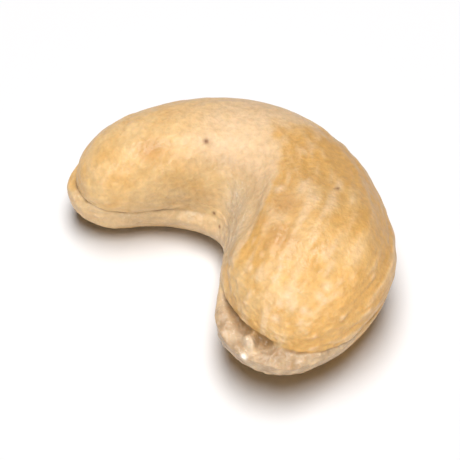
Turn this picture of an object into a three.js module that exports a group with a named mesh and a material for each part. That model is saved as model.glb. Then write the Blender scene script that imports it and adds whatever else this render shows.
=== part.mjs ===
// A whole roasted cashew kernel, out of its shell, lying on its side.
// It is one solid: a bent sweep from a thin arm, over a sunken neck, to a thick lobe. Its two seed leaves
// have slid past each other along the seam that runs round it. Millimetres, +Z up, resting on z = 0.
import * as THREE from "three";
import { mergeVertices } from "three/addons/utils/BufferGeometryUtils.js";

const { smoothstep, lerp, degToRad } = THREE.MathUtils;

// Centreline seen from above, from the tip of the arm to the tip of the lobe.
const CENTRELINE = new THREE.CubicBezierCurve(
  new THREE.Vector2(-11.1, 4.85),
  new THREE.Vector2(-0.5, 8.5),
  new THREE.Vector2(8.2, 6.7),
  new THREE.Vector2(2.95, -9.65),
);

// Half sizes of the cross-section at even stations from the arm's tip to the lobe's.
const TO_BACK = stations(2.9, 4.7, 5.5, 7.1, 5.1);
const TO_HOLLOW = stations(2.9, 3.0, 4.3, 5.05, 5.8);
const TO_TOP = stations(4.0, 4.7, 4.8, 5.9, 5.3);
const TO_UNDERSIDE = stations(4.2, 4.8, 4.8, 5.7, 5.3);
// How far the underside is pressed flat where it rests, at the same stations.
const FLATTENING = stations(-0.3, 0.22, 0.05, 0.28, -0.1);
const SECTION_SQUARENESS = 2.25; // 2 is an ellipse

// Rounded ends: the length over which each tip closes, and how blunt it is.
const ARM_CAP = 4.4;
const LOBE_CAP = 8.2;
const CAP_BLUNTNESS = 2.2;

// The lower seed leaf has slid out past the upper one, towards the hollow and the tips: how far along X and
// along Y, the half height of the step between them, and how far below mid height the seam runs.
const SLIDE_X = stations(-0.7, -0.4, -0.7, -0.2, -1.3);
const SLIDE_Y = stations(0.2, -0.5, -1.7, -0.4, -1.2);
const SLIDE_STEP = stations(0.36, 0.3, 1.1, 0.6, 0.16);
const SEAM_DROP_AT_BACK = stations(0.1, 0.4, 0.8, 1.5, 1.2);
const SEAM_DROP_IN_HOLLOW = stations(0.7, 1.1, 0.4, 0, 0);
// The upper leaf's edge lies above the middle of the step by this share of its half height, up to a limit.
const EDGE_RISE = { share: 1.3, limit: 0.3 };

// Seam: a shallow valley, with a fine line at the upper leaf's edge. Both fade in the hollow of the bend and
// at the lobe's tip.
const SEAM_VALLEY = { depth: 0.14, reach: 0.9 };
const SEAM_LINE = { depth: 0.13, reach: 0.16 };
const SEAM_LEFT_IN_HOLLOW = 0.2;
const SEAM_LEFT_AT_TIP = 0.3;
const BEND = { middle: 0.57, reach: 0.24 };

// Neck: sunk at the bend, up to the slanting crease from which the lobe rises. Its depth is given at even
// turns from the back to the hollow.
const NECK_DEPTH = stations(0, 0.2, 0.38, 0.55, 0.15);
const NECK_UNDERSIDE_SHARE = 0.5;
const NECK_STARTS = [0.26, 0.44];
const CREASE = { atBack: 0.46, sweep: 0.35, turn: [degToRad(75), degToRad(150)], width: [-0.1, 0.06] };

// Lobe's tip: a gap under the upper leaf's edge, on the hollow's side.
const TIP_STARTS = [0.84, 0.92];
const GAP = { depth: 0.5, reach: 0.16, across: [-1.1, 0.3] };

// Soft lengthwise folds on the lobe and slow lumps all over.
const FOLDS = { height: 0.08, count: 11, twist: 5, lobeStart: [0.56, 0.68], lobeEnd: [0.84, 0.96] };
const LUMPS = { height: 0.13, length: 1.9, phase: new THREE.Vector3(0.7, -0.4, 0.3) };

// Mesh density, with columns crowded towards the seam.
const COLUMNS = 84;
const ROWS = 64;
const SEAM_CROWDING = 0.68;

const KERNEL_COLOUR = 0xe2b679;

// A smooth function of a share from 0 to 1, through values at even stations.
function stations(...values) {
  const last = values.length - 1;
  const curve = new THREE.SplineCurve(values.map((value, i) => new THREE.Vector2(i / last, value)));
  return (share) => curve.getPoint(share).y;
}

// Share of the full section at a distance from a tip.
function roundedEnd(distance, capLength) {
  const left = 1 - Math.min(distance / capLength, 1);
  return (1 - left ** CAP_BLUNTNESS) ** (1 / CAP_BLUNTNESS);
}

// A bell of height 1 at zero.
function bell(offset, reach) {
  return Math.exp(-((offset / reach) ** 2));
}

// Where a point of the unit sphere lies on the kernel: its share of the length, and its turn round the
// centreline, which is 0 on the back and a quarter at the top. The crowded columns follow the seam.
function placeOnKernel({ x, y, z }) {
  const along = (1 - y) / 2;
  const turn = Math.atan2(z, x);
  const onBack = (1 + Math.cos(turn)) / 2;
  const seamDrop = lerp(SEAM_DROP_IN_HOLLOW(along), -SEAM_DROP_AT_BACK(along), onBack);
  const crowding = (SEAM_CROWDING * Math.sin(2 * turn)) / 2;
  return { along, around: turn - crowding + seamDrop / TO_UNDERSIDE(along) };
}

// The smooth form of the two slid leaves, with the heights of a point above their seam and edge.
function formPoint({ along, around }) {
  const length = CENTRELINE.getLength();
  const centre = CENTRELINE.getPointAt(along);
  const tangent = CENTRELINE.getTangentAt(along);
  const toBack = Math.cos(around);
  const up = Math.sin(around);
  const caps = roundedEnd(along * length, ARM_CAP) * roundedEnd((1 - along) * length, LOBE_CAP);
  const squareness = SECTION_SQUARENESS;
  const fullness = (Math.abs(toBack) ** squareness + Math.abs(up) ** squareness) ** (-1 / squareness);
  const across = toBack * (toBack > 0 ? TO_BACK : TO_HOLLOW)(along) * caps * fullness;
  const height = up * (up > 0 ? TO_TOP : TO_UNDERSIDE)(along) * caps * fullness;

  const drop = lerp(SEAM_DROP_IN_HOLLOW(along), SEAM_DROP_AT_BACK(along), smoothstep(toBack, -1, 1));
  const aboveSeam = height + drop * caps;
  const step = SLIDE_STEP(along);
  const leaf = Math.tanh(aboveSeam / step) / 2;
  return {
    x: centre.x - tangent.y * across - SLIDE_X(along) * leaf,
    y: centre.y + tangent.x * across - SLIDE_Y(along) * leaf,
    z: TO_UNDERSIDE(along) - FLATTENING(along) + height,
    across,
    aboveSeam,
    aboveEdge: aboveSeam - Math.min(EDGE_RISE.share * step, EDGE_RISE.limit),
  };
}

// How far the surface stands proud of the smooth form.
function relief({ along, around }, { x, y, z, across, aboveSeam, aboveEdge }) {
  const toBack = Math.cos(around);
  const fromBack = Math.acos(toBack);

  const valley = SEAM_VALLEY.depth * bell(aboveSeam, SEAM_VALLEY.reach);
  const line = SEAM_LINE.depth * bell(aboveEdge, SEAM_LINE.reach);
  const inBend = Math.max(0, -toBack) * bell(along - BEND.middle, BEND.reach);
  const atTip = smoothstep(along, ...TIP_STARTS);
  const seam = lerp(1, SEAM_LEFT_IN_HOLLOW, inBend) * lerp(1, SEAM_LEFT_AT_TIP, atTip) * (valley + line);

  const crease = CREASE.atBack + CREASE.sweep * smoothstep(fromBack, ...CREASE.turn);
  const inNeck = smoothstep(along, ...NECK_STARTS) * (1 - smoothstep(along - crease, ...CREASE.width));
  const neck = inNeck * NECK_DEPTH(fromBack / Math.PI) * (Math.sin(around) > 0 ? 1 : NECK_UNDERSIDE_SHARE);

  const inGap = atTip * (1 - smoothstep(across, ...GAP.across));
  const gap = GAP.depth * inGap * bell(aboveEdge, GAP.reach);

  const onLobe = smoothstep(along, ...FOLDS.lobeStart) * (1 - smoothstep(along, ...FOLDS.lobeEnd));
  const folds = onLobe * FOLDS.height * Math.cos(FOLDS.count * around + FOLDS.twist * along);

  const wave = new THREE.Vector3(x, y, z).divideScalar(LUMPS.length).add(LUMPS.phase);
  const lumps = LUMPS.height * Math.sin(wave.x) * Math.sin(wave.y) * Math.cos(wave.z);

  return folds + lumps - seam - neck - gap;
}

// The kernel's closed surface: a sphere drawn out along the centreline, then carved along its normals.
function kernelGeometry() {
  const sphere = new THREE.SphereGeometry(1, COLUMNS, ROWS);
  sphere.deleteAttribute("normal");
  sphere.deleteAttribute("uv");
  const geometry = mergeVertices(sphere);
  const position = geometry.getAttribute("position");
  const places = [];
  const forms = [];
  for (let i = 0; i < position.count; i++) {
    places.push(placeOnKernel(new THREE.Vector3().fromBufferAttribute(position, i)));
    forms.push(formPoint(places[i]));
    position.setXYZ(i, forms[i].x, forms[i].y, forms[i].z);
  }

  geometry.computeVertexNormals();
  const normal = geometry.getAttribute("normal");
  for (let i = 0; i < position.count; i++) {
    const point = new THREE.Vector3().fromBufferAttribute(position, i);
    const outward = new THREE.Vector3().fromBufferAttribute(normal, i);
    point.addScaledVector(outward, relief(places[i], forms[i]));
    position.setXYZ(i, point.x, point.y, Math.max(point.z, 0));
  }

  geometry.computeBoundingBox();
  const middle = geometry.boundingBox.getCenter(new THREE.Vector3());
  geometry.translate(-middle.x, -middle.y, 0);
  geometry.computeVertexNormals();
  return geometry;
}

const kernel = new THREE.Mesh(
  kernelGeometry(),
  new THREE.MeshStandardMaterial({ color: KERNEL_COLOUR, roughness: 0.5, metalness: 0 }),
);
kernel.name = "kernel";

const cashew = new THREE.Group();
cashew.add(kernel);

export default cashew;
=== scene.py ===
"""Looks of a whole roasted cashew kernel, lying on its side on a pale floor.

The fine surface follows the form of the solid that it replaces: a bent sweep from a thin arm, over a sunken
neck, to a thick lobe. To that it adds the wavering seam, wrinkles, blisters, crumbly lumps and the roast,
with painted shade in the crevices and painted highlights on the crests.

Sizes are in millimetres, and in metres for the view and the light. Shares of the length run from the arm's
tip to the lobe's. Turns are measured from the back of the bend. A pair of shares, turns or heights gives
where a change has not begun and where it is full. Levels are an even share, and how much more of it a noise
or a change brings.
"""
import math

import bpy
import numpy as np
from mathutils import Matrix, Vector, noise


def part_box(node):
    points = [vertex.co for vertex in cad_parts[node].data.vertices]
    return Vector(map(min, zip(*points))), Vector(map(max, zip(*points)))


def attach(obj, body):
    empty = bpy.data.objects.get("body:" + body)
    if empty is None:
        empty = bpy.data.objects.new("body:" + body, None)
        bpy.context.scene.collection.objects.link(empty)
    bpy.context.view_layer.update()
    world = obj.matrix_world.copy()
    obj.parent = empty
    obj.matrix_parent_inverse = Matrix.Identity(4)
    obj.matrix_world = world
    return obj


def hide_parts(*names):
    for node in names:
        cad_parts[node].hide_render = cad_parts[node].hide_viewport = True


MM = 0.001

# Form, with the same sizes as the solid's, at even stations from the arm's tip to the lobe's.
CENTRELINE = np.array([(-11.1, 4.85), (-0.5, 8.5), (8.2, 6.7), (2.95, -9.65)])
CENTRELINE_SAMPLES = 4001
TO_BACK = (2.9, 4.7, 5.5, 7.1, 5.1)
TO_HOLLOW = (2.9, 3.0, 4.3, 5.05, 5.8)
TO_TOP = (4.0, 4.7, 4.8, 5.9, 5.3)
TO_UNDERSIDE = (4.2, 4.8, 4.8, 5.7, 5.3)
FLATTENING = (-0.3, 0.22, 0.05, 0.28, -0.1)
SECTION_SQUARENESS = 2.25
ARM_CAP, LOBE_CAP, CAP_BLUNTNESS = 4.4, 8.2, 2.2

# The lower seed leaf has slid out past the upper one, towards the hollow and the tips.
SLIDE_X = (-0.7, -0.4, -0.7, -0.2, -1.3)
SLIDE_Y = (0.2, -0.5, -1.7, -0.4, -1.2)
SLIDE_STEP = (0.36, 0.3, 1.1, 0.6, 0.16)
SEAM_DROP_AT_BACK = (0.1, 0.4, 0.8, 1.5, 1.2)
SEAM_DROP_IN_HOLLOW = (0.7, 1.1, 0.4, 0.0, 0.0)
EDGE_RISE_SHARE, EDGE_RISE_LIMIT = 1.3, 0.3

# Seam: a shallow valley with a fine line in it. Both fade in the hollow of the bend and at the lobe's tip.
SEAM_VALLEY_DEPTH, SEAM_VALLEY_REACH = 0.14, 0.9
SEAM_LINE_DEPTH, SEAM_LINE_REACH = 0.13, 0.1
SEAM_LEFT_IN_HOLLOW, SEAM_LEFT_AT_TIP = 0.2, 0.3
BEND_MIDDLE, BEND_REACH = 0.57, 0.24

# The seam's line is closed along the hollow's side, between the arm and the lobe.
LINE_CLOSED_FROM_ARM, LINE_CLOSED_FROM_LOBE, LINE_CLOSED_SHARE = (0.2, 0.32), (0.7, 0.58), 0.75

# Neck: sunk on top and scooped at the inner wall, up to the crease from which the lobe rises.
NECK_DEPTH_ROUND = (0.0, 0.2, 0.38, 0.55, 0.15)
NECK_UNDERSIDE_SHARE = 0.5
NECK_STARTS = (0.26, 0.44)
CREASE_AT_BACK, CREASE_SWEEP, CREASE_TURN = 0.46, 0.35, np.radians((75, 150))
CREASE_WIDTH = (-0.1, 0.06)
WALL_STARTS, WALL_TURN = (0.36, 0.52), np.radians((124, 152))

# At the lobe's tip the upper leaf's edge overhangs a gap, in which the root of the embryo lies as a nib.
TIP_STARTS = (0.84, 0.92)
GAP_DEPTH, GAP_REACH, GAP_ACROSS = 0.5, 0.16, (0.3, -1.1)
NIB_FROM_TIP, NIB_AXIS = np.array((-1.5, 1.15)), np.array((0.34, -0.94))
NIB_HALF_LENGTH, NIB_RADIUS, NIB_HEIGHT, NIB_EDGE = 0.75, 0.42, 0.28, (1.25, 0.4)
NIB_SEAM_REACH = 0.4

# Soft lengthwise folds on the lobe and slow lumps all over.
FOLD_HEIGHT, FOLD_COUNT, FOLD_TWIST = 0.08, 11, 5
FOLD_START, FOLD_END = (0.56, 0.68), (0.84, 0.96)
LUMP_HEIGHT, LUMP_LENGTH = 0.13, 1.9
LUMP_PHASE = np.array((0.7, -0.4, 0.3))

# Fine relief that only the looks have, sunk so that its crests stay within the solid's box.
FINE_RELIEF_SUNK = 0.1

# Layers of noise, as heights and sizes. Sizes in threes are lengthwise, crosswise and upwards.
SEAM_WAVER = ((0.16, 1.9), (0.05, 0.6))
STREAKS = ((0.1, (4.4, 0.8, 0.8)), (0.055, (2.8, 0.42, 0.42)), (0.03, (4.0, 0.26, 0.26)))
SHELF_LUMPS, SHELF_REACH = ((0.13, 0.6), (0.07, 0.28)), 0.5
WALL_LUMPS = ((0.05, 0.5), (0.035, 0.24))

# Skin: the run and strength of its streaks, its blisters and its grain.
STREAKS_LEFT_ON_ARM = 0.6
STREAK_SLANT_ON_ARM, STREAK_SLANT_ON_LOBE = math.radians(50), math.radians(-22)
STREAK_CHANGE = (0.36, 0.56)
BLISTER_SPACING, BLISTER_EDGE, BLISTER_HEIGHT = (2.4, 1.4, 1.4), (0.24, 0.06), 0.05
SKIN_LEFT_IN_NECK = 0.12
GRAIN_HEIGHT, GRAIN_SIZE = 0.012, 0.5

# Noise fields, each drawn from a place of its own.
WAVER_FIELD, STREAK_FIELD, GRAIN_FIELD, PATCH_FIELD = 0, 1, 2, 3
MOTTLE_FIELD, LINE_FIELD, LUMP_FIELD, BAND_FIELD = 4, 6, 7, 8
FIELD_SHIFT = 17.3

# Toast, with painted light in it: an even share, and how much more or less of it each of these brings.
TOAST_EVEN = 0.5
TOAST_BY = {
    "patches": 0.6,
    "mottle": 0.4,
    "past_crease": 0.75,
    "rim": 0.15,
    # Deeper toast on the lobe's back: partly real, partly painted shade.
    "lobe_back_toast_and_shade": 0.4,
    "neck": -0.6,
    # Paler crests and toastier valleys: partly wear, partly painted highlight and shade.
    "wrinkles": -4.0,
    # Painted light: the arm's front made paler.
    "arm_front_painted_light": -0.25,
    # Pale bands: partly the skin's stripes, partly painted highlight.
    "bands": -0.6,
}
PATCH_SIZE, MOTTLE_SIZE = 2.4, 0.8
CREASE_TOAST_PAST, CREASE_TOAST_REACH = 0.115, 0.065
CREASE_TOAST_TURN, CREASE_TOAST_UNDERSIDE = np.radians((150, 95)), 0.5
RIM_HEIGHT, RIM_REACH, RIM_STARTS = 1.3, 1.0, (0.3, 0.7)
LOBE_BACK_STARTS, LOBE_BACK_TURN = (0.5, 0.65), np.radians((80, 35))
ARM_FRONT_STARTS, ARM_FRONT_TURN = (0.45, 0.25), np.radians((80, 120))
BAND_SIZE, BAND_STARTS, BAND_TURN = (5.0, 0.85, 2.5), (0.62, 0.74), np.radians((55, 85))

# Paleness of the saddle, with an edge that wavers by the patches and the mottle, and of the skin's crests.
SADDLE_STARTS, SADDLE_ENDS, SADDLE_TURN = (0.2, 0.38), (0.065, -0.01), np.radians((150, 118))
SADDLE_START_BY_PATCHES, SADDLE_END_BY_PATCHES = 0.05, 0.04
SADDLE_END_BY_MOTTLE, SADDLE_TURN_BY_MOTTLE = 0.05, 0.15
SADDLE_LEVELS = (0.9, 0.35)
# Paleness of the crests of wrinkles, blisters and bands: partly the skin's own, partly painted highlight.
WRINKLE_PALE, WRINKLE_RISE = 0.7, (0.015, 0.08)
BLISTER_PALE = 0.7
BAND_PALE, BAND_RISE = 0.6, (0.1, 0.4)
CREST_LEVELS, CREST_STARTS = (0.4, 0.6), (0.3, 0.55)

# Bare flesh on the neck's wall, and on the lip of the lower leaf, below the upper leaf's edge.
WALL_BARE = 0.8
LIP_EDGE, LIP_FOOT, LIP_TURN = (0.06, -0.06), (-3.0, -0.9), np.radians((20, 120))
LIP_BARE, LIP_BARE_PAST_ARM, LIP_BARE_AT_TIP = 0.3, 0.4, 0.3
BARE_LEVELS = (0.85, 0.4)

# Painted shade in the seam's broken line, in hollows of the lip at the tip, and in the fold along the neck.
LINE_DARK_REACH, LINE_DARK_LOST_IN_BEND = 0.09, 0.85
LINE_BREAK_SIZE, LINE_LEVELS, LINE_LEAST = 1.1, (0.7, 0.9), 0.15
TIP_DARK_LEVELS = (0.45, 0.6)
NECK_DARK, NECK_DARK_TURN, NECK_DARK_REACH = 0.2, math.radians(126), math.radians(14)

# Single marks: place from the middle of the kernel's base, and reach.
SPECKS = (
    (-1.66, 5.24, 8.98, 0.2),
    (7.37, 0.32, 10.21, 0.17),
    (-1.1, 2.5, 4.2, 0.14),
    (-0.75, 1.6, 3.8, 0.12),
)
BROWNED = (
    (3.3, -4.3, 11.0, 1.2),
    (3.9, -1.5, 10.9, 1.0),
    (2.4, -2.7, 10.5, 0.5),
    # On the arm's top: partly orange mottling, partly painted shade.
    (-5.5, 4.6, 8.8, 0.9),
)
BLANCHED = (
    (0.6, -6.2, 8.3, 1.1),
    (1.5, -7.7, 7.9, 1.0),
    (2.8, -9.1, 6.4, 1.0),
    (7.4, -4.9, 10.3, 1.3),
)
BLANCHED_TOAST_LOST = 0.7
# Painted highlights: pale marks along the front and the top of the lobe.
PAINTED_HIGHLIGHTS = (
    (3.1, -8.75, 7.7, 0.35),
    (3.4, -8.2, 8.7, 0.28),
    (3.9, -7.9, 9.2, 0.3),
    (5.0, -8.6, 8.5, 0.3),
    (6.1, -7.9, 9.1, 0.3),
    (6.6, -7.3, 9.4, 0.35),
    (5.8, -1.1, 11.0, 0.4),
    (3.4, 0.1, 10.4, 0.4),
)
# A painted glint: a near-white spot at the lobe's tip.
PAINTED_GLINTS = ((0.93, -10.13, 5.0, 0.22),)

# Linear colours, laid over the golden skin in this order, each by the mask of its name.
GOLDEN = (0.61, 0.4, 0.184)
SKIN_COLOURS = {
    "toast_and_painted_light": (0.55, 0.308, 0.098),
    # Pale: the saddle's own colour, and on the crests partly painted highlight.
    "pale": (0.645, 0.445, 0.262),
    "brown": (0.48, 0.26, 0.09),
    "bare": (0.54, 0.42, 0.3),
}
FLECK = (0.85, 0.7, 0.52)
MARK_COLOURS = {
    # Painted shade in the seam, the gap, the lip's hollows at the tip and the neck's fold
    "crevice_shade": (0.29, 0.165, 0.07),
    "speck": (0.13, 0.045, 0.015),
    # The painted glint, near white
    "painted_glint": (0.95, 0.88, 0.78),
}

# Finish: the sizes of the material's lumps, and the ranges that they give.
LUMP_DETAIL, LUMP_RANGE = 2, (0.3, 0.7)
GRAIN_LUMPS, FRECKLE_LUMPS, FLECK_LUMPS = 0.36, 0.75, 0.32
GRAIN_SHADES, FRECKLE_SHADES = (0.9, 1.07), (0.94, 1.05)
FLECK_SHARES, FLECK_RANGE = (0, 0.7), (0.6, 0.7)
SKIN_ROUGHNESS, PALE_ROUGHNESS_ADDED = (0.31, 0.45), 0.14
BUMP_STRENGTH, BUMP_HEIGHT = 0.7, 0.1
SUBSURFACE_WEIGHT, SUBSURFACE_RADIUS, SUBSURFACE_SCALE = 0.2, (1, 0.5, 0.25), 0.7
SPECULAR_LEVEL = 0.31

# Sockets of the node that mixes two colours
MIX_SHARE, MIX_UNDER, MIX_OVER, MIX_RESULT = 0, 6, 7, 2

# Mesh density, with columns crowded towards the seam.
COLUMNS, ROWS = 320, 300
SEAM_CROWDING = 0.6

# View, in metres but for the sensor
CAMERA_ELEVATION = math.radians(55)
CAMERA_DISTANCE = 0.30
CAMERA_CLIP = (0.01, 10)
FRAME_WIDTH = 0.032
SENSOR = 36.0

# Floor and sky
FLOOR_HALF = 1.5
FLOOR_COLOUR, FLOOR_ROUGHNESS = (0.92, 0.925, 0.95, 1), 0.9
SKY_COLOUR, SKY_STRENGTH = (1, 0.97, 0.95, 1), 0.025

# Lamps: place, width and depth, watts, colour, and whether only the kernel takes their light.
LAMPS = {
    "key": ((0.0, -0.03, 0.58), (0.26, 0.5), 4.0, (1, 0.985, 0.965), False),
    "front_fill": ((-0.24, -0.42, 0.34), (0.25, 0.25), 2.25, (0.9, 0.95, 1), True),
    "low_fill": ((0.32, -0.4, 0.12), (0.25, 0.25), 1.2, (1, 0.95, 0.76), True),
    "back_fill": ((-0.15, 0.5, 0.3), (0.3, 0.2), 0.6, (1, 0.98, 0.9), True),
}


def smoothstep(low, high, value):
    share = np.clip((value - low) / (high - low), 0, 1)
    return share * share * (3 - 2 * share)


def bell(offset, reach):
    return np.exp(-((offset / reach) ** 2))


def lerp(start, end, share):
    return start + (end - start) * share


def varied(levels, by):
    """An even level, with more or less of it by a noise or a change."""
    even, more = levels
    return even + more * by


def stations(values, along):
    """A smooth curve through values at even stations of the length."""
    values = np.asarray(values, float)
    last = len(values) - 1
    place = np.clip(along, 0, 1) * last
    first = np.minimum(place.astype(int), last - 1)
    share = place - first
    before, start, end, after = (values[np.clip(first + k, 0, last)] for k in (-1, 0, 1, 2))
    leaving, arriving = (end - before) / 2, (after - start) / 2
    return (
        (2 * start - 2 * end + leaving + arriving) * share**3
        + (3 * end - 3 * start - 2 * leaving - arriving) * share**2
        + leaving * share
        + start
    )


def noise_at(points, size, field):
    """Smooth noise of about -1 to 1 at each point, with lumps of that size."""
    places = (points / np.asarray(size) + FIELD_SHIFT * field).tolist()
    return np.array([noise.noise(place) for place in places])


def layered(points, layers, field):
    """A sum of noises of those heights and sizes."""
    return sum(height * noise_at(points, size, field) for height, size in layers)


def centreline(along):
    """Points and unit tangents of the centreline at shares of its length, and that length."""
    a, b, c, d = CENTRELINE

    def point(t):
        return a * (1 - t) ** 3 + 3 * b * t * (1 - t) ** 2 + 3 * c * t**2 * (1 - t) + d * t**3

    fine = np.linspace(0, 1, CENTRELINE_SAMPLES)
    steps = np.linalg.norm(np.diff(point(fine[:, None]), axis=0), axis=1)
    run = np.concatenate(([0], np.cumsum(steps)))
    t = np.interp(along * run[-1], run, fine)[:, None]
    tangent = (b - a) * (1 - t) ** 2 + 2 * (c - b) * t * (1 - t) + (d - c) * t**2
    return point(t), tangent / np.linalg.norm(tangent, axis=1, keepdims=True), run[-1]


def rounded_end(distance, cap_length):
    """Share of the full section at a distance from a tip."""
    left = 1 - np.minimum(distance / cap_length, 1)
    return (1 - left**CAP_BLUNTNESS) ** (1 / CAP_BLUNTNESS)


def kernel_grid():
    """Shares of the length and turns round it of every vertex, and the faces between them."""
    polar = np.linspace(0, math.pi, ROWS + 1)[1:-1]
    turn = np.linspace(0, 2 * math.pi, COLUMNS, endpoint=False)
    along = np.repeat((1 - np.cos(polar)) / 2, COLUMNS)
    around = np.tile(turn - SEAM_CROWDING * np.sin(2 * turn) / 2, len(polar))
    along = np.concatenate(([0.0], along, [1.0]))
    around = np.concatenate(([0.0], around, [0.0]))

    column = np.arange(COLUMNS)
    following = (column + 1) % COLUMNS
    last = len(along) - 1
    faces = [(0, 1 + f, 1 + c) for c, f in zip(column.tolist(), following.tolist())]
    for row in range(len(polar) - 1):
        this, other = 1 + row * COLUMNS, 1 + (row + 1) * COLUMNS
        faces += zip(
            (this + column).tolist(),
            (this + following).tolist(),
            (other + following).tolist(),
            (other + column).tolist(),
        )
    end = 1 + (len(polar) - 1) * COLUMNS
    faces += [(end + c, end + f, last) for c, f in zip(column.tolist(), following.tolist())]
    return along, around, faces


class Surface:
    """The smooth form, with what is known at each of its vertices."""

    def __init__(self, along, around):
        centre, tangent, length = centreline(along)
        to_back, up = np.cos(around), np.sin(around)
        caps = rounded_end(along * length, ARM_CAP) * rounded_end((1 - along) * length, LOBE_CAP)
        squareness = SECTION_SQUARENESS
        fullness = (np.abs(to_back) ** squareness + np.abs(up) ** squareness) ** (-1 / squareness)
        underside = stations(TO_UNDERSIDE, along)
        wide = np.where(to_back > 0, stations(TO_BACK, along), stations(TO_HOLLOW, along))
        high = np.where(up > 0, stations(TO_TOP, along), underside)
        across = to_back * wide * caps * fullness
        height = up * high * caps * fullness

        self.along, self.around, self.up = along, around, up
        self.unbent = np.column_stack((along * length, across, height))
        self.from_back = np.arccos(np.clip(to_back, -1, 1))
        self.to_hollow = np.maximum(0, -to_back)
        waver = layered(np.column_stack((centre, to_back)), SEAM_WAVER, WAVER_FIELD)
        back_drop, hollow_drop = stations(SEAM_DROP_AT_BACK, along), stations(SEAM_DROP_IN_HOLLOW, along)
        drop = lerp(hollow_drop, back_drop, smoothstep(-1, 1, to_back))
        self.above_seam = height + (drop + waver) * caps
        step = stations(SLIDE_STEP, along)
        self.above_edge = self.above_seam - np.minimum(EDGE_RISE_SHARE * step, EDGE_RISE_LIMIT)

        leaf = np.tanh(self.above_seam / step) / 2
        slide = np.column_stack((stations(SLIDE_X, along), stations(SLIDE_Y, along)))
        side = np.column_stack((-tangent[:, 1], tangent[:, 0]))
        plan = centre + side * across[:, None] - slide * leaf[:, None]
        level = underside - stations(FLATTENING, along) + height
        self.point = np.column_stack((plan, level))

        crease = CREASE_AT_BACK + CREASE_SWEEP * smoothstep(*CREASE_TURN, self.from_back)
        self.past_crease = along - crease
        self.neck = smoothstep(*NECK_STARTS, along) * (1 - smoothstep(*CREASE_WIDTH, self.past_crease))
        self.in_bend = self.to_hollow * bell(along - BEND_MIDDLE, BEND_REACH)
        self.wall = self.neck * smoothstep(*WALL_TURN, self.from_back) * smoothstep(*WALL_STARTS, along)
        self.at_tip = smoothstep(*TIP_STARTS, along)

        calm = np.clip(1 - self.neck, SKIN_LEFT_IN_NECK, 1)
        on_arm = STREAKS_LEFT_ON_ARM * self.streaks(STREAK_SLANT_ON_ARM)
        on_lobe = self.streaks(STREAK_SLANT_ON_LOBE)
        self.wrinkle = calm * lerp(on_arm, on_lobe, smoothstep(*STREAK_CHANGE, along))
        self.blister = calm * self.blisters()

    def main_relief(self):
        """Seam, neck, gap, folds and lumps, which the solid has too."""
        valley = SEAM_VALLEY_DEPTH * bell(self.above_seam, SEAM_VALLEY_REACH)
        line = SEAM_LINE_DEPTH * self.line_left() * bell(self.above_edge, SEAM_LINE_REACH)
        left = lerp(1, SEAM_LEFT_IN_HOLLOW, self.in_bend) * lerp(1, SEAM_LEFT_AT_TIP, self.at_tip)
        seam = (valley + line) * left
        depth = stations(NECK_DEPTH_ROUND, self.from_back / math.pi)
        neck = self.neck * depth * np.where(self.up > 0, 1, NECK_UNDERSIDE_SHARE)
        on_lobe = smoothstep(*FOLD_START, self.along) * (1 - smoothstep(*FOLD_END, self.along))
        folds = on_lobe * FOLD_HEIGHT * np.cos(FOLD_COUNT * self.around + FOLD_TWIST * self.along)
        x, y, z = (self.point / LUMP_LENGTH + LUMP_PHASE).T
        lumps = LUMP_HEIGHT * np.sin(x) * np.sin(y) * np.cos(z)
        gap = GAP_DEPTH * self.gap() * (1 - self.nib())
        return folds + lumps - seam - neck - gap

    def fine_relief(self):
        """Streaks, blisters, grain, and the crumbly lumps of the shelf at the tip and of the neck's wall."""
        skin = self.wrinkle + BLISTER_HEIGHT * self.blister - FINE_RELIEF_SUNK
        grain = GRAIN_HEIGHT * noise_at(self.point, GRAIN_SIZE, GRAIN_FIELD)
        on_shelf = self.at_tip * bell(self.above_seam, SHELF_REACH)
        shelf = on_shelf * layered(self.point, SHELF_LUMPS, LUMP_FIELD)
        wall = self.wall * layered(self.point, WALL_LUMPS, LUMP_FIELD)
        return skin * (1 - on_shelf) + grain + shelf + wall

    def line_left(self):
        """How much of the seam's line is left where it is closed."""
        closed_from_arm = smoothstep(*LINE_CLOSED_FROM_ARM, self.along)
        closed_from_lobe = smoothstep(*LINE_CLOSED_FROM_LOBE, self.along)
        return 1 - LINE_CLOSED_SHARE * closed_from_arm * closed_from_lobe * self.to_hollow

    def slanted(self, slant):
        """Places on the unbent kernel, turned from its length towards its back."""
        along, across, height = self.unbent.T
        lengthwise = along * math.cos(slant) + across * math.sin(slant)
        crosswise = across * math.cos(slant) - along * math.sin(slant)
        return np.column_stack((lengthwise, crosswise, height))

    def streaks(self, slant):
        """Wrinkles that run at an angle to the length."""
        return layered(self.slanted(slant), STREAKS, STREAK_FIELD)

    def blisters(self):
        """Small scattered blisters, drawn out lengthwise."""
        places = (self.unbent / BLISTER_SPACING).tolist()
        return smoothstep(*BLISTER_EDGE, np.array([noise.voronoi(place)[0][0] for place in places]))

    def nib(self):
        """The root of the embryo, a small lump lying in the gap."""
        offset = self.point[:, :2] - (CENTRELINE[-1] + NIB_FROM_TIP)
        lengthwise = offset @ NIB_AXIS / NIB_HALF_LENGTH
        crosswise = (offset[:, 0] * NIB_AXIS[1] - offset[:, 1] * NIB_AXIS[0]) / NIB_RADIUS
        lump = smoothstep(*NIB_EDGE, np.hypot(lengthwise, crosswise))
        return self.at_tip * lump * bell(self.above_seam, NIB_SEAM_REACH)

    def gap(self):
        """The gap under the upper leaf's edge at the lobe's tip, on the hollow's side."""
        return self.at_tip * smoothstep(*GAP_ACROSS, self.unbent[:, 1]) * bell(self.above_edge, GAP_REACH)

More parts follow.
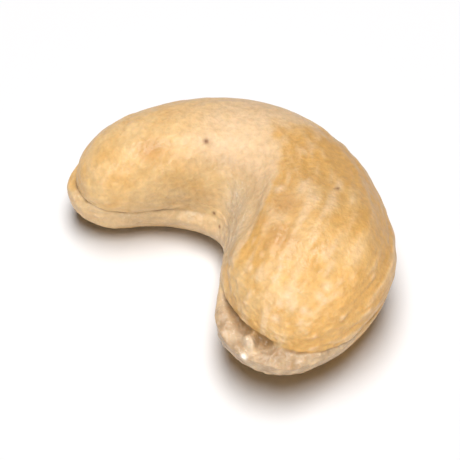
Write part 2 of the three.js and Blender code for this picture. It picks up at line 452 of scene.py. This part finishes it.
    def masks(self):
        """Where each colour shows, from 0 to 1: the roast's, with painted light and shade among them."""
        patches = noise_at(self.point, PATCH_SIZE, PATCH_FIELD)
        mottle = noise_at(self.point, MOTTLE_SIZE, MOTTLE_FIELD)
        bands = noise_at(self.slanted(STREAK_SLANT_ON_LOBE), BAND_SIZE, BAND_FIELD)
        banded = self.between(BAND_STARTS, BAND_TURN)
        lip = self.lip()
        masks = {
            "toast_and_painted_light": self.toast_and_painted_light(patches, mottle, banded * bands),
            "pale": np.maximum(self.saddle(patches, mottle), self.crests(bands, banded)),
            "bare": self.bare(lip, mottle),
            "crevice_shade": self.crevice_shade(lip, mottle),
        }
        return {name: np.clip(mask, 0, 1) for name, mask in masks.items()}

    def toast_and_painted_light(self, patches, mottle, bands):
        """Toast, with painted light: paler crests and arm front, darker valleys and lobe back."""
        past_crease = bell(self.past_crease - CREASE_TOAST_PAST, CREASE_TOAST_REACH)
        past_crease = past_crease * smoothstep(*CREASE_TOAST_TURN, self.from_back)
        shown = {
            "patches": patches,
            "mottle": mottle,
            "past_crease": past_crease * np.where(self.up > 0, 1, CREASE_TOAST_UNDERSIDE),
            "rim": bell(self.above_seam - RIM_HEIGHT, RIM_REACH) * smoothstep(*RIM_STARTS, self.along),
            "lobe_back_toast_and_shade": self.between(LOBE_BACK_STARTS, LOBE_BACK_TURN),
            "neck": self.neck,
            "wrinkles": self.wrinkle,
            "arm_front_painted_light": self.between(ARM_FRONT_STARTS, ARM_FRONT_TURN),
            "bands": bands,
        }
        return TOAST_EVEN + sum(more * shown[name] for name, more in TOAST_BY.items())

    def between(self, starts, turn):
        """A region, by its share of the length and its turn from the back."""
        return smoothstep(*starts, self.along) * smoothstep(*turn, self.from_back)

    def saddle(self, patches, mottle):
        """The pale saddle between the arm and the crease."""
        starts = smoothstep(*SADDLE_STARTS, self.along + SADDLE_START_BY_PATCHES * patches)
        past = self.past_crease + SADDLE_END_BY_MOTTLE * mottle + SADDLE_END_BY_PATCHES * patches
        turn = self.from_back + SADDLE_TURN_BY_MOTTLE * mottle
        shown = starts * smoothstep(*SADDLE_ENDS, past) * smoothstep(*SADDLE_TURN, turn)
        return shown * varied(SADDLE_LEVELS, mottle)

    def crests(self, bands, banded):
        """The pale crests of wrinkles, blisters and bands: partly their own colour, partly painted
        highlight.
        """
        wrinkles = WRINKLE_PALE * smoothstep(*WRINKLE_RISE, self.wrinkle) * (1 - self.neck)
        skin = np.maximum(wrinkles, BLISTER_PALE * self.blister)
        skin = skin * varied(CREST_LEVELS, smoothstep(*CREST_STARTS, self.along))
        return np.maximum(skin, BAND_PALE * banded * smoothstep(*BAND_RISE, bands))

    def lip(self):
        """The lip of the lower leaf, which stands out below the upper leaf's edge."""
        below = smoothstep(*LIP_EDGE, self.above_edge) * smoothstep(*LIP_FOOT, self.above_seam)
        return below * np.maximum(smoothstep(*LIP_TURN, self.from_back), self.at_tip)

    def bare(self, lip, mottle):
        """Bare flesh on the neck's wall and on the lip."""
        past_arm = smoothstep(*WALL_STARTS, self.along)
        on_lip = lip * (LIP_BARE + LIP_BARE_PAST_ARM * past_arm + LIP_BARE_AT_TIP * self.at_tip)
        return np.maximum(WALL_BARE * self.wall, on_lip) * varied(BARE_LEVELS, mottle)

    def crevice_shade(self, lip, mottle):
        """Painted shade: in the seam's line and gap, the lip's hollows at the tip and the neck's fold."""
        unbroken = varied(LINE_LEVELS, noise_at(self.point, LINE_BREAK_SIZE, LINE_FIELD))
        line = bell(self.above_edge, LINE_DARK_REACH) * (1 - LINE_DARK_LOST_IN_BEND * self.in_bend)
        line = line * self.line_left() * np.clip(unbroken, LINE_LEAST, 1)
        at_tip = self.at_tip * lip * np.clip(varied(TIP_DARK_LEVELS, mottle), 0, 1)
        in_neck = NECK_DARK * self.neck * bell(self.from_back - NECK_DARK_TURN, NECK_DARK_REACH)
        return np.maximum.reduce((line, self.gap(), at_tip, in_neck)) * (1 - self.nib())


def vertex_normals(mesh):
    normals = np.empty(len(mesh.vertices) * 3, np.float32)
    mesh.vertex_normals.foreach_get("vector", normals)
    return normals.reshape(-1, 3).astype(float)


def marks_at(places, point):
    """Small round marks at their places on the finished kernel."""
    mask = np.zeros(len(point))
    for *place, reach in places:
        mask = np.maximum(mask, bell(np.linalg.norm(point - place, axis=1), reach))
    return mask


def add_marks(masks, point):
    """Single marks, beside the roast's masks and within them; some are painted highlights and a painted
    glint.
    """
    masks["speck"] = marks_at(SPECKS, point)
    # A painted glint at the lobe's tip.
    masks["painted_glint"] = marks_at(PAINTED_GLINTS, point)
    masks["brown"] = marks_at(BROWNED, point)
    masks["toast_and_painted_light"] = masks["toast_and_painted_light"] * (1 - BLANCHED_TOAST_LOST * marks_at(BLANCHED, point))
    # Painted highlights join the pale mask.
    masks["pale"] = np.maximum(masks["pale"] * (1 - masks["brown"]), marks_at(PAINTED_HIGHLIGHTS, point))


def build_kernel(frame_box):
    along, around, faces = kernel_grid()
    surface = Surface(along, around)
    mesh = bpy.data.meshes.new("cashew_kernel")
    mesh.from_pydata(surface.point.tolist(), [], faces)
    mesh.update()
    proud = surface.main_relief() + surface.fine_relief()
    point = surface.point + vertex_normals(mesh) * proud[:, None]
    point[:, 2] = np.maximum(point[:, 2] + NIB_HEIGHT * surface.nib(), 0)
    middle = (point.min(0) + point.max(0)) / 2
    settled = point - np.append(middle[:2], 0)
    low, high = frame_box
    placed = settled * MM + np.array(((low.x + high.x) / 2, (low.y + high.y) / 2, low.z))
    mesh.vertices.foreach_set("co", placed.astype(np.float32).ravel())
    mesh.polygons.foreach_set("use_smooth", np.ones(len(mesh.polygons), bool))
    masks = surface.masks()
    add_marks(masks, settled)
    for name, values in masks.items():
        mesh.attributes.new(name, "FLOAT", "POINT").data.foreach_set("value", values.astype(np.float32))
    mesh.update()
    kernel = bpy.data.objects.new("cashew_kernel", mesh)
    bpy.context.scene.collection.objects.link(kernel)
    return kernel


def node(tree, kind, inputs, **settings):
    """A shader node, with its settings and its inputs, which are values or other nodes' outputs."""
    made = tree.nodes.new("ShaderNode" + kind)
    for name, value in settings.items():
        setattr(made, name, value)
    for name, value in inputs.items():
        if isinstance(value, bpy.types.NodeSocket):
            tree.links.new(value, made.inputs[name])
        else:
            made.inputs[name].default_value = value
    return made


def mask_of(tree, name):
    return node(tree, "Attribute", {}, attribute_name=name).outputs["Fac"]


def lumps_of(tree, place, size):
    """Noise of 0 to 1 with lumps of that size."""
    inputs = {"Vector": place, "Scale": 1 / (size * MM), "Detail": LUMP_DETAIL}
    return node(tree, "TexNoise", inputs).outputs["Fac"]


def ranged(tree, value, to, start=LUMP_RANGE):
    """A value taken from one range to another."""
    inputs = {"Value": value, "From Min": start[0], "From Max": start[1], "To Min": to[0], "To Max": to[1]}
    return node(tree, "MapRange", inputs).outputs["Result"]


def product(tree, first, second):
    return node(tree, "Math", {0: first, 1: second}, operation="MULTIPLY").outputs[0]


def blended(tree, share, under, over):
    """A colour laid by a share over what is under it."""
    inputs = {MIX_SHARE: share, MIX_UNDER: under, MIX_OVER: (*over, 1)}
    return node(tree, "Mix", inputs, data_type="RGBA").outputs[MIX_RESULT]


def skin_colour(tree, place):
    """The roast, with painted light and shade in it, from the golden skin up to the single marks."""
    colour = (*GOLDEN, 1)
    for name, over in SKIN_COLOURS.items():
        colour = blended(tree, mask_of(tree, name), colour, over)
    flecks = ranged(tree, lumps_of(tree, place, FLECK_LUMPS), FLECK_SHARES, FLECK_RANGE)
    colour = blended(tree, product(tree, flecks, mask_of(tree, "bare")), colour, FLECK)
    for name, over in MARK_COLOURS.items():
        colour = blended(tree, mask_of(tree, name), colour, over)
    return colour


def nut_material():
    material = bpy.data.materials.new("roasted_cashew")
    material.use_nodes = True
    tree = material.node_tree
    shader = tree.nodes["Principled BSDF"]
    place = node(tree, "TexCoord", {}).outputs["Object"]
    grain = lumps_of(tree, place, GRAIN_LUMPS)
    freckles = lumps_of(tree, place, FRECKLE_LUMPS)

    colour = skin_colour(tree, place)
    shade = product(tree, ranged(tree, grain, GRAIN_SHADES), ranged(tree, freckles, FRECKLE_SHADES))
    shaded = node(tree, "VectorMath", {0: colour, "Scale": shade}, operation="SCALE")
    tree.links.new(shaded.outputs[0], shader.inputs["Base Color"])

    inputs = {0: mask_of(tree, "pale"), 1: PALE_ROUGHNESS_ADDED, 2: ranged(tree, freckles, SKIN_ROUGHNESS)}
    rough = node(tree, "Math", inputs, operation="MULTIPLY_ADD")
    tree.links.new(rough.outputs[0], shader.inputs["Roughness"])

    bump = node(tree, "Bump", {"Height": grain, "Strength": BUMP_STRENGTH, "Distance": BUMP_HEIGHT * MM})
    tree.links.new(bump.outputs["Normal"], shader.inputs["Normal"])
    shader.inputs["Subsurface Weight"].default_value = SUBSURFACE_WEIGHT
    shader.inputs["Subsurface Radius"].default_value = SUBSURFACE_RADIUS
    shader.inputs["Subsurface Scale"].default_value = SUBSURFACE_SCALE * MM
    shader.inputs["Specular IOR Level"].default_value = SPECULAR_LEVEL
    return material


def build_floor():
    mesh = bpy.data.meshes.new("floor")
    corners = [(x * FLOOR_HALF, y * FLOOR_HALF, 0) for x, y in ((-1, -1), (1, -1), (1, 1), (-1, 1))]
    mesh.from_pydata(corners, [], [(0, 1, 2, 3)])
    floor = bpy.data.objects.new("floor", mesh)
    bpy.context.scene.collection.objects.link(floor)
    material = bpy.data.materials.new("pale_floor")
    material.use_nodes = True
    shader = material.node_tree.nodes["Principled BSDF"]
    shader.inputs["Base Color"].default_value = FLOOR_COLOUR
    shader.inputs["Roughness"].default_value = FLOOR_ROUGHNESS
    mesh.materials.append(material)


def build_lamp(name, target, kernel):
    """A soft lamp aimed at the target.

    Light that only the kernel takes leaves its shadow on the floor deep.
    """
    place, (wide, deep), power, colour, kernel_only = LAMPS[name]
    data = bpy.data.lights.new(name, "AREA")
    data.shape, data.size, data.size_y = "ELLIPSE", wide, deep
    data.energy, data.color = power, colour
    lamp = bpy.data.objects.new(name, data)
    lamp.location = place
    lamp.rotation_euler = (target - Vector(place)).to_track_quat("-Z", "Y").to_euler()
    bpy.context.scene.collection.objects.link(lamp)
    if kernel_only:
        receivers = bpy.data.collections.new(name + "_receivers")
        receivers.objects.link(kernel)
        lamp.light_linking.receiver_collection = receivers


def build_sky():
    world = bpy.data.worlds.new("studio")
    bpy.context.scene.world = world
    world.use_nodes = True
    background = world.node_tree.nodes["Background"]
    background.inputs["Color"].default_value = SKY_COLOUR
    background.inputs["Strength"].default_value = SKY_STRENGTH


def build_stage(centre, kernel):
    build_floor()
    for name in LAMPS:
        build_lamp(name, centre, kernel)
    build_sky()
    bpy.context.scene.view_settings.view_transform = "Standard"


def build_camera(centre):
    data = bpy.data.cameras.new("camera")
    data.sensor_width = SENSOR
    data.lens = SENSOR * CAMERA_DISTANCE / FRAME_WIDTH
    data.clip_start, data.clip_end = CAMERA_CLIP
    camera = bpy.data.objects.new("camera", data)
    back = Vector((0, -math.cos(CAMERA_ELEVATION), math.sin(CAMERA_ELEVATION)))
    camera.location = centre + back * CAMERA_DISTANCE
    camera.rotation_euler = (-back).to_track_quat("-Z", "Y").to_euler()
    bpy.context.scene.collection.objects.link(camera)
    bpy.context.scene.camera = camera


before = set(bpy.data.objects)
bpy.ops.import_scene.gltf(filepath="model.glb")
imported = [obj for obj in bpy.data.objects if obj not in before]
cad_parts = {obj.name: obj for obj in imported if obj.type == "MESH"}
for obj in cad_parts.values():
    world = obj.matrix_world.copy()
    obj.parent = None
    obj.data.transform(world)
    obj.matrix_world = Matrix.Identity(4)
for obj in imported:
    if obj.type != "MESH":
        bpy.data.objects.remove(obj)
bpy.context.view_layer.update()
low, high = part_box("kernel")
centre = (low + high) / 2
build_camera(centre)

kernel = build_kernel((low, high))
kernel.data.materials.append(nut_material())
build_stage(centre, kernel)
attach(kernel, "root")
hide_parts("kernel")
